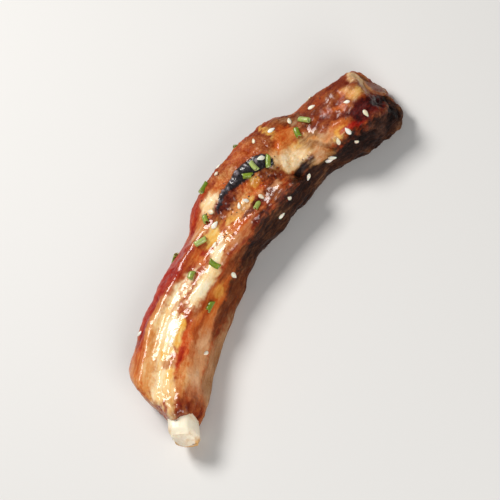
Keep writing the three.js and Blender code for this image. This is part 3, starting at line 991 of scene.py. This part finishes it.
def make_meat(colours):
    """Builds the skin of the meat on a ball's rings."""
    mesh, share, turn = ball_mesh("rib_meat", MEAT_AROUND, MEAT_ALONG)
    start, way, angle = capsule_places(share, turn)
    points = above_floor(meat_surface(start, way))
    masks = meat_masks(points, angle)
    set_coordinates(mesh, to_frame(bend(points)))
    height = meat_relief(points, masks)
    set_coordinates(mesh, above_floor(raised(mesh, height)))
    add_place(mesh, points)
    # painted shade in the hollows and painted light on the lumps, applied as a power on the skin's colour
    depth = 1 - PAINTED_HOLLOW_SHADE * np.clip(height / PAINTED_SHADE_DEPTH, -1, 1)
    add_colour(mesh, "skin", skin_colours(points, angle, colours) ** depth[:, None])
    for name, values in masks.items():
        add_mask(mesh, name, values)
    return finish_piece("rib_meat", mesh, meat_material(colours), ["meat"])


# ---- The bone --------------------------------------------------------------------------------------

BONE_AROUND = 72
BONE_ALONG = 300
BONE_CAP_SHARE = 0.06
BONE_DOME = 1.3
BONE_END_DOME = 0.26
BONE_FACE = (0.72, 1.0)
MARROW_DISC = (0.55, 0.95)
MARROW_AT_TIP = 0.15
STAIN_DISC = (0.7, 1.0)
STAIN_LENGTH = (0.4, 3.2)
STAIN_UNDER = 0.22
STAIN_LUMP = 3.6
STAIN_COVER = 0.65
STAIN_MOST = 1.4
STAIN_VARIES = 0.6
MEAT_STAIN = 0.6
MEAT_STAIN_REACH = (-2.4, 0.2)

# Relief of the bone, given as for the meat.
BONE_RIDGES = (0.2, 2.0, (0.25, 1, 1), 3, 2.0)
BONE_PITS = (0.25, 0.9, (1, 1, 1), 2, 8.0)
BONE_CHIPS = (0.45, 2.4, (1, 1, 1), 3, 14.0)


def bone_masks(points, disc, turn, at_tip):
    """Where the bone is spongy, glazed or stained, as numbers from 0 to 1."""
    from_end = np.minimum(points[:, 0] - BONE_TIP, BONE_END - points[:, 0])
    under = -np.sin(turn)
    stain = smooth(disc + STAIN_UNDER * under, *STAIN_DISC) * (1 - smooth(from_end, *STAIN_LENGTH))
    varies = STAIN_VARIES * (grain(points, STAIN_LUMP, 2, 61.0) + under)
    stain *= np.clip(STAIN_COVER + varies, 0, STAIN_MOST)
    out_of_meat = np.max([(points - on) @ np.array(normal) for on, normal, _blend in CUTS[:2]], axis=0)
    near_meat = np.where(at_tip, MEAT_STAIN * (1 - smooth(out_of_meat, *MEAT_STAIN_REACH)), 1.0)
    return {
        "marrow": np.where(at_tip, MARROW_AT_TIP, 1.0) * (1 - smooth(disc, *MARROW_DISC)),
        "glazed": ~at_tip,
        "edge": np.clip(stain + near_meat, 0, 1),
    }


def make_bone(colours):
    """Builds the whole bone, bare at the narrow end and cut at the thick end."""
    mesh, share, turn = ball_mesh("rib_bone", BONE_AROUND, BONE_ALONG)
    at_tip = share < 0.5
    cap = np.minimum(share, 1 - share) / BONE_CAP_SHARE
    disc = np.clip(cap, 0, 1)
    body = np.clip((share - BONE_CAP_SHARE) / (1 - 2 * BONE_CAP_SHARE), 0, 1) * 2 - 1
    points = bone_points(body, disc * np.cos(turn), disc * np.sin(turn))
    points[:, 0] += np.where(at_tip, -BONE_DOME, BONE_END_DOME) * (1 - disc**2)
    set_coordinates(mesh, to_frame(bend(points)))
    pits = np.minimum(lumps(points, BONE_PITS), 0) * (1 - smooth(disc, *BONE_FACE))
    chips = lumps(points, BONE_CHIPS) * (1 - smooth(np.abs(cap - 1), 0.0, 0.8))
    set_coordinates(mesh, raised(mesh, lumps(points, BONE_RIDGES) + pits + chips))
    for name, values in bone_masks(points, disc, turn, at_tip).items():
        add_mask(mesh, name, values)
    return finish_piece("rib_bone", mesh, bone_material(colours), ["bone"])


# ---- Seeds, chives and crumbs ------------------------------------------------------------------------

class Draws:
    """Evenly spread numbers from a fixed start."""

    def __init__(self, start):
        self.state = start

    def next(self):
        """The next number from 0 to 1."""
        self.state = self.state * 16807 % 2147483647
        return self.state / 2147483647


TINT_STEP = 0.618


def skin_place(meat, s, angle):
    """The spot and the way out of the skin at a place on the rib."""
    turn = math.radians(angle)
    core = core_points(np.array([float(s)]))
    way = spread(np.array([0.0]), np.array([math.cos(turn)]), np.array([math.sin(turn)]))
    inner = Vector(to_frame(bend(core))[0])
    outer = Vector(to_frame(bend(core + way * SEARCH_REACH))[0])
    hit, spot, normal, _face = meat.ray_cast(outer, (inner - outer).normalized())
    if not hit:
        raise RuntimeError(f"no skin at {s}, {angle}")
    ahead = Vector(to_frame(bend(core + (1, 0, 0)))[0]) - inner
    side = normal.cross(ahead).normalized()
    front = side.cross(normal).normalized()
    return spot, Matrix((front, side, normal)).transposed().to_4x4()


def lay_copies(name, meat, source, spots, sink, shape_copy):
    """Joins a copy of the source for each spot: (s, angle, turn in degrees, scale in millimetres)."""
    whole = bmesh.new()
    tint = whole.verts.layers.float.new("tint")
    for index, (s, angle, turn, scale) in enumerate(spots):
        spot, axes = skin_place(meat, s, angle)
        copy = source.copy()
        shape_copy(copy, index)
        place = Matrix.Translation(spot - sink * MM * axes.to_3x3().col[2]) @ axes
        size = Matrix.Diagonal((*(part * MM for part in scale), 1))
        place = place @ Matrix.Rotation(math.radians(turn), 4, "Z") @ size
        bmesh.ops.transform(copy, matrix=place, verts=copy.verts)
        mesh = bpy.data.meshes.new("copy")
        copy.to_mesh(mesh)
        copy.free()
        known = len(whole.verts)
        whole.from_mesh(mesh)
        bpy.data.meshes.remove(mesh)
        whole.verts.ensure_lookup_table()
        for vertex in whole.verts[known:]:
            vertex[tint] = (index * TINT_STEP) % 1
    mesh = bpy.data.meshes.new(name)
    whole.to_mesh(mesh)
    whole.free()
    return mesh


SEED_SHAPE = (1.0, 0.59375, 0.3125)
SEED_TAPER = 0.45
SEED_TAPERS = (-0.3, 1.0)
SEED_JITTER = 0.16
SEED_TIP = 4.0


def seed_spots(half_length):
    """The seeds' places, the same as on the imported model's meat, with a turn and a size for each."""
    draws = Draws(RANDOM_SEED)
    low, high = SEED_EXTRA_SPAN
    spots = list(SEED_SPOTS)
    for index in range(SEED_EXTRAS):
        s = low + (high - low) * (index + draws.next()) / SEED_EXTRAS
        inner = index % 3 == 0
        start, arc = (SEED_INNER_FROM, SEED_INNER_ARC) if inner else (0.0, SEED_OUTER_ARC)
        spots.append((s, start + arc * draws.next()))
    turns = [360 * draws.next() for _spot in spots]
    laid = []
    for (s, angle), turn in zip(spots, turns):
        half = half_length * (1 + SEED_JITTER * (2 * draws.next() - 1))
        laid.append((s, angle, turn, tuple(half * share for share in SEED_SHAPE)))
    return laid


def make_seeds(meat, colours, toppings):
    """Joins all the sesame seeds, each a flattened drop."""
    drop = bmesh.new()
    bmesh.ops.create_uvsphere(drop, u_segments=14, v_segments=10, radius=1)
    bmesh.ops.rotate(drop, verts=drop.verts, matrix=Matrix.Rotation(math.radians(90), 3, "Y"))
    for vertex in drop.verts:
        narrow = 1 - SEED_TAPER * float(smooth(vertex.co.x, *SEED_TAPERS))
        vertex.co.y *= narrow
        vertex.co.z *= 0.5 + 0.5 * narrow
    draws = Draws(RANDOM_SEED + 1)

    def tip(copy, _index):
        """Rocks a seed a little, so that no two lie alike."""
        rock = math.radians(SEED_TIP * (2 * draws.next() - 1))
        bmesh.ops.rotate(copy, verts=copy.verts, matrix=Matrix.Rotation(rock, 3, "Y"))

    spots = seed_spots(toppings.seed_length / 2 / MM)
    mesh = lay_copies("sesame_seeds", meat, drop, spots, SEED_SINK, tip)
    drop.free()
    return finish_piece("sesame_seeds", mesh, seed_material(colours))


CHIVE_WALL = 0.26
CHIVE_SLANT = 0.16
CHIVE_BOW = 0.24
CHIVE_FLAT = 0.86
CHIVE_SQUASH = (0.14, 0.1)


def make_chives(meat, colours, toppings):
    """Joins all the chopped chives, each a thin-walled tube with slanted ends."""
    tube = bmesh.new()
    bmesh.ops.create_cone(tube, cap_ends=False, segments=18, radius1=1, radius2=1, depth=1)
    bmesh.ops.rotate(tube, verts=tube.verts, matrix=Matrix.Rotation(math.radians(90), 3, "Y"))
    lengthwise = [edge for edge in tube.edges if abs(edge.verts[0].co.x - edge.verts[1].co.x) > 0.5]
    bmesh.ops.subdivide_edges(tube, edges=lengthwise, cuts=6)
    bmesh.ops.recalc_face_normals(tube, faces=tube.faces)
    bmesh.ops.solidify(tube, geom=tube.faces[:], thickness=CHIVE_WALL)
    inside = tube.verts.layers.float.new("inside")
    for vertex in tube.verts:
        vertex[inside] = 1.0 if math.hypot(vertex.co.y, vertex.co.z) < 1 - CHIVE_WALL / 2 else 0.0
    draws = Draws(RANDOM_SEED + 2)

    def cut(copy, _index):
        """Gives one bit its own slanted ends, bow and squash."""
        slant, bow, squash, twist = (2 * draws.next() - 1 for _draw in range(4))
        wider, lower = CHIVE_SQUASH
        for vertex in copy.verts:
            x, y, z = vertex.co
            x += CHIVE_SLANT * slant * y * (1 if x > 0 else -0.6)
            arch = CHIVE_BOW * (1 - 4 * x * x)
            z += arch * bow
            y += arch * twist
            vertex.co = (x, y * (1 + wider * squash), z * (CHIVE_FLAT - lower * squash))

    radius = toppings.chive_width / 2 / MM
    spots = [(s, angle, turn, (length, radius, radius)) for s, angle, turn, length in CHIVE_SPOTS]
    mesh = lay_copies("chive_bits", meat, tube, spots, CHIVE_SINK, cut)
    tube.free()
    return finish_piece("chive_bits", mesh, chive_material(colours))


CRUMB_HALF = (0.28, 0.2, 0.14)
CRUMB_SMALLEST = 0.6
CRUMB_SIZES = 1.1
SEAM_CRUMB_MARGIN = 3
SEAM_CRUMB_ANGLE = 75
SEAM_CRUMB_ARC = 22
LOOSE_CRUMBS_FROM = (84, 30)
LOOSE_CRUMBS_OVER = (74, 88)


def crumb_spots(count):
    """Places of the crumbs: every other one along the seam, the rest loose over the skin."""
    draws = Draws(RANDOM_SEED + 3)
    spots = []
    for index in range(count):
        if index % 2:
            s = SEAM_FROM - SEAM_CRUMB_MARGIN
            s += (SEAM_TO - SEAM_FROM + 2 * SEAM_CRUMB_MARGIN) * draws.next()
            angle = SEAM_CRUMB_ANGLE + SEAM_CRUMB_ARC * (draws.next() + draws.next() - 1)
        else:
            s, angle = (low + over * draws.next() for low, over in zip(LOOSE_CRUMBS_FROM, LOOSE_CRUMBS_OVER))
        size = CRUMB_SMALLEST + CRUMB_SIZES * draws.next()
        spots.append((s, angle, 360 * draws.next(), tuple(half * size for half in CRUMB_HALF)))
    return spots, draws


def make_crumbs(meat, colours, toppings):
    """Joins burnt crumbs along the seam and flecks of pepper over the skin."""
    crumb = bmesh.new()
    bmesh.ops.create_icosphere(crumb, subdivisions=1, radius=1)
    spots, draws = crumb_spots(toppings.crumbs)

    def crack(copy, _index):
        """Makes one crumb jagged."""
        for vertex in copy.verts:
            vertex.co *= 0.7 + 0.6 * draws.next()

    mesh = lay_copies("char_crumbs", meat, crumb, spots, 0.0, crack)
    crumb.free()
    return finish_piece("char_crumbs", mesh, crumb_material(colours))


# ---- The stage -------------------------------------------------------------------------------------

TOWARDS_CAMERA = Vector((-0.292, -0.507, 0.811))
PICTURE_TURN = 63.1
PICTURE_SIDE = 0.197
AIM_FROM_MIDDLE = Vector((-0.00165, 0, 0))
SENSOR = 36.0
LIGHT_DISTANCE = 0.9


def make_floor(stage):
    """A plain floor under the rib."""
    shape = bmesh.new()
    bmesh.ops.create_grid(shape, x_segments=2, y_segments=2, size=1.5)
    mesh = bpy.data.meshes.new("stage_floor")
    shape.to_mesh(mesh)
    shape.free()
    floor = bpy.data.objects.new("stage_floor", mesh)
    bpy.context.scene.collection.objects.link(floor)
    mesh.materials.append(floor_material(stage.floor_colour))
    floor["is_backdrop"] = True


def make_camera(stage):
    """Looks down at the rib, with the thick end up and to the right."""
    low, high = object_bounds()
    middle = (low + high) / 2 + AIM_FROM_MIDDLE
    back = TOWARDS_CAMERA.normalized()
    level = (Vector((1, 0, 0)) - back * back.x).normalized()
    upright = back.cross(level)
    turn = math.radians(PICTURE_TURN)
    right = math.cos(turn) * level - math.sin(turn) * upright
    up = math.sin(turn) * level + math.cos(turn) * upright
    data = bpy.data.cameras.new("camera")
    data.lens = stage.lens
    data.sensor_width = SENSOR
    data.clip_start = 0.01
    data.clip_end = 20.0
    camera = bpy.data.objects.new("camera", data)
    distance = PICTURE_SIDE / 2 / (SENSOR / 2 / stage.lens)
    axes = Matrix((right, up, back)).transposed().to_4x4()
    camera.matrix_world = Matrix.Translation(middle + back * distance) @ axes
    bpy.context.scene.collection.objects.link(camera)
    bpy.context.scene.camera = camera


def make_light(name, way, width, power, colour):
    """A soft square of light that faces the rib."""
    data = bpy.data.lights.new(name, "AREA")
    data.shape = "RECTANGLE"
    data.size = data.size_y = width
    data.energy = power
    data.color = colour
    light = bpy.data.objects.new(name, data)
    back = Vector(way).normalized()
    facing = back.to_track_quat("Z", "Y").to_matrix().to_4x4()
    light.matrix_world = Matrix.Translation(back * LIGHT_DISTANCE) @ facing
    bpy.context.scene.collection.objects.link(light)


def make_lights(stage):
    """A soft key from behind the outer side, a weak fill beside the camera and a pale room."""
    make_light("key", (0.15, 0.6, 0.78), 0.34, stage.key_power, (1.0, 0.98, 0.95))
    make_light("fill", (-0.45, -0.75, 0.55), 0.45, stage.fill_power, (1.0, 0.99, 0.97))
    world = bpy.data.worlds.new("room")
    world.use_nodes = True
    background = world.node_tree.nodes["Background"]
    background.inputs["Color"].default_value = (*stage.room_colour, 1.0)
    background.inputs["Strength"].default_value = stage.room_strength
    bpy.context.scene.world = world
    bpy.context.scene.view_settings.view_transform = "Standard"


# ---- Settings, operators and panel ---------------------------------------------------------------------

def colour_setting(name, description, default):
    """A colour that the user can change."""
    return bpy.props.FloatVectorProperty(
        name=name, description=description, subtype="COLOR", size=3, min=0.0, max=1.0, default=default
    )


class RibColours(bpy.types.PropertyGroup):
    """Colours of the rib."""
    # Cream, fat and pale fat serve partly as a painted highlight along the crest and on the pale patches.
    cream: colour_setting("Cream fat", "Fat with no glaze on it", (1.0, 0.85, 0.58))
    fat: colour_setting("Pale fat", "Fat that is barely glazed", (1.0, 0.75, 0.42))
    pale_fat: colour_setting("Glazed fat", "Fat under thin glaze", (0.94, 0.66, 0.33))
    gold: colour_setting("Golden fat", "Fat under thick glaze", (0.92, 0.55, 0.13))
    light_orange: colour_setting("Light orange glaze", "Thin glaze over pale skin", (0.76, 0.36, 0.12))
    orange: colour_setting("Orange glaze", "Glaze over skin", (0.66, 0.185, 0.034))
    red_orange: colour_setting("Red-orange glaze", "Glaze over roasted skin", (0.45, 0.085, 0.014))
    roast: colour_setting("Roasted orange-brown", "Roasted crust under glaze", (0.25, 0.042, 0.006))
    bright_red: colour_setting("Bright red glaze", "Thin red glaze along the lip", (0.7, 0.12, 0.022))
    red: colour_setting("Red glaze", "Thick red glaze", (0.43, 0.024, 0.005))
    deep_red: colour_setting("Deep red glaze", "Thickest glaze, at the far end", (0.08, 0.003, 0.0015))
    brown: colour_setting("Roasted brown", "Well roasted crust", (0.2, 0.05, 0.012))
    # Dark brown is roasted crust, and on the inner side and in the hollow also painted shade.
    dark_brown: colour_setting("Dark brown", "Roasted inner side", (0.05, 0.014, 0.004))
    tan: colour_setting("Tan meat", "Cooked lean under thin glaze", (0.7, 0.32, 0.14))
    pale_tan: colour_setting("Pale tan meat", "Cooked lean without glaze", (0.78, 0.43, 0.22))
    grey_tan: colour_setting("Grey-tan meat", "Cooked lean near the board", (0.42, 0.22, 0.1))
    # Char is the burnt seam's colour, and on the inner side by the head and in the hollow also painted shade.
    char: colour_setting("Char", "Burnt seam", (0.008, 0.0045, 0.006))
    # The char's painted highlight: lighter grey painted on the seam's beads.
    char_painted_highlight: colour_setting("Char sheen", "Lighter spots of the burnt seam", (0.4, 0.34, 0.38))
    bone: colour_setting("Bone", "Cooked bone", (1.0, 0.89, 0.69))
    bone_stain: colour_setting("Bone stain", "Browned rim of the bone", (0.7, 0.33, 0.05))
    marrow: colour_setting("Marrow", "Spongy inside of the bone", (0.28, 0.1, 0.04))
    seed: colour_setting("Sesame", "Hulled sesame seed", (0.97, 0.94, 0.85))
    seed_warm: colour_setting("Warm sesame", "Darker sesame seed", (0.86, 0.74, 0.52))
    chive: colour_setting("Chive", "Fresh chive", (0.33, 0.43, 0.03))
    chive_dark: colour_setting("Dark chive", "Streaks on the chive", (0.13, 0.21, 0.01))
    chive_pale: colour_setting("Pale chive", "Cut rim of the chive", (0.62, 0.7, 0.28))


class RibToppings(bpy.types.PropertyGroup):
    """Sizes of the toppings."""
    seed_length: bpy.props.FloatProperty(
        name="Seed length", description="Length of a sesame seed", default=0.0032, min=0.001, unit="LENGTH"
    )
    chive_width: bpy.props.FloatProperty(
        name="Chive width", description="Width of a bit of chive", default=0.0022, min=0.001, unit="LENGTH"
    )
    crumbs: bpy.props.IntProperty(name="Crumbs", description="Number of burnt crumbs", default=64, min=1)


class RibStage(bpy.types.PropertyGroup):
    """Floor, light and camera."""
    floor_colour: colour_setting("Floor", "Colour of the floor", (0.72, 0.71, 0.695))
    room_colour: colour_setting("Room", "Colour of the light from all round", (0.93, 0.96, 1.0))
    room_strength: bpy.props.FloatProperty(
        name="Room light", description="Strength of the light from all round", default=0.16, min=0.0
    )
    key_power: bpy.props.FloatProperty(
        name="Key light", description="Power of the main light", default=7.0, min=0.0, unit="POWER"
    )
    fill_power: bpy.props.FloatProperty(
        name="Fill light", description="Power of the light by the camera", default=4.8, min=0.0, unit="POWER"
    )
    lens: bpy.props.FloatProperty(
        name="Lens", description="Focal length in millimetres", default=250.0, min=10.0, unit="CAMERA"
    )


class RIB_OT_meat(bpy.types.Operator):
    """Makes the glazed meat"""
    bl_idname = "rib.meat"
    bl_label = "Meat"

    def execute(self, context):
        make_meat(context.scene.rib_colours)
        return {"FINISHED"}


class RIB_OT_bone(bpy.types.Operator):
    """Makes the bone"""
    bl_idname = "rib.bone"
    bl_label = "Bone"

    def execute(self, context):
        make_bone(context.scene.rib_colours)
        return {"FINISHED"}


class RIB_OT_toppings(bpy.types.Operator):
    """Lays the sesame seeds, chives and burnt crumbs on the meat"""
    bl_idname = "rib.toppings"
    bl_label = "Toppings"

    def execute(self, context):
        meat = bpy.data.objects["rib_meat"]
        context.view_layer.update()
        for make in (make_seeds, make_chives, make_crumbs):
            make(meat, context.scene.rib_colours, context.scene.rib_toppings)
        return {"FINISHED"}


class RIB_OT_stage(bpy.types.Operator):
    """Makes the floor, the lights and the camera"""
    bl_idname = "rib.stage"
    bl_label = "Stage"

    def execute(self, context):
        make_floor(context.scene.rib_stage)
        make_lights(context.scene.rib_stage)
        make_camera(context.scene.rib_stage)
        return {"FINISHED"}


class RIB_PT_panel(bpy.types.Panel):
    """Lists the rib's pieces and settings"""
    bl_label = "Glazed Pork Rib"
    bl_space_type = "VIEW_3D"
    bl_region_type = "UI"
    bl_category = "Rib"

    def draw(self, context):
        for operator in PIECE_OPERATORS:
            self.layout.operator(operator.bl_idname)
        scene = context.scene
        for settings in (scene.rib_colours, scene.rib_toppings, scene.rib_stage):
            for name in settings.__annotations__:
                self.layout.prop(settings, name)


PIECE_OPERATORS = (RIB_OT_meat, RIB_OT_bone, RIB_OT_toppings, RIB_OT_stage)
CLASSES = (RibColours, RibToppings, RibStage, *PIECE_OPERATORS, RIB_PT_panel)


def register():
    """Adds the classes and their settings."""
    for each in CLASSES:
        bpy.utils.register_class(each)
    bpy.types.Scene.rib_colours = bpy.props.PointerProperty(type=RibColours)
    bpy.types.Scene.rib_toppings = bpy.props.PointerProperty(type=RibToppings)
    bpy.types.Scene.rib_stage = bpy.props.PointerProperty(type=RibStage)


def unregister():
    """Removes the classes and their settings."""
    del bpy.types.Scene.rib_stage
    del bpy.types.Scene.rib_toppings
    del bpy.types.Scene.rib_colours
    for each in reversed(CLASSES):
        bpy.utils.unregister_class(each)


def main():
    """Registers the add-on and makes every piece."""
    register()
    bpy.ops.rib.meat()
    bpy.ops.rib.bone()
    bpy.ops.rib.toppings()
    bpy.ops.rib.stage()


if __name__ == "__main__":
    main()
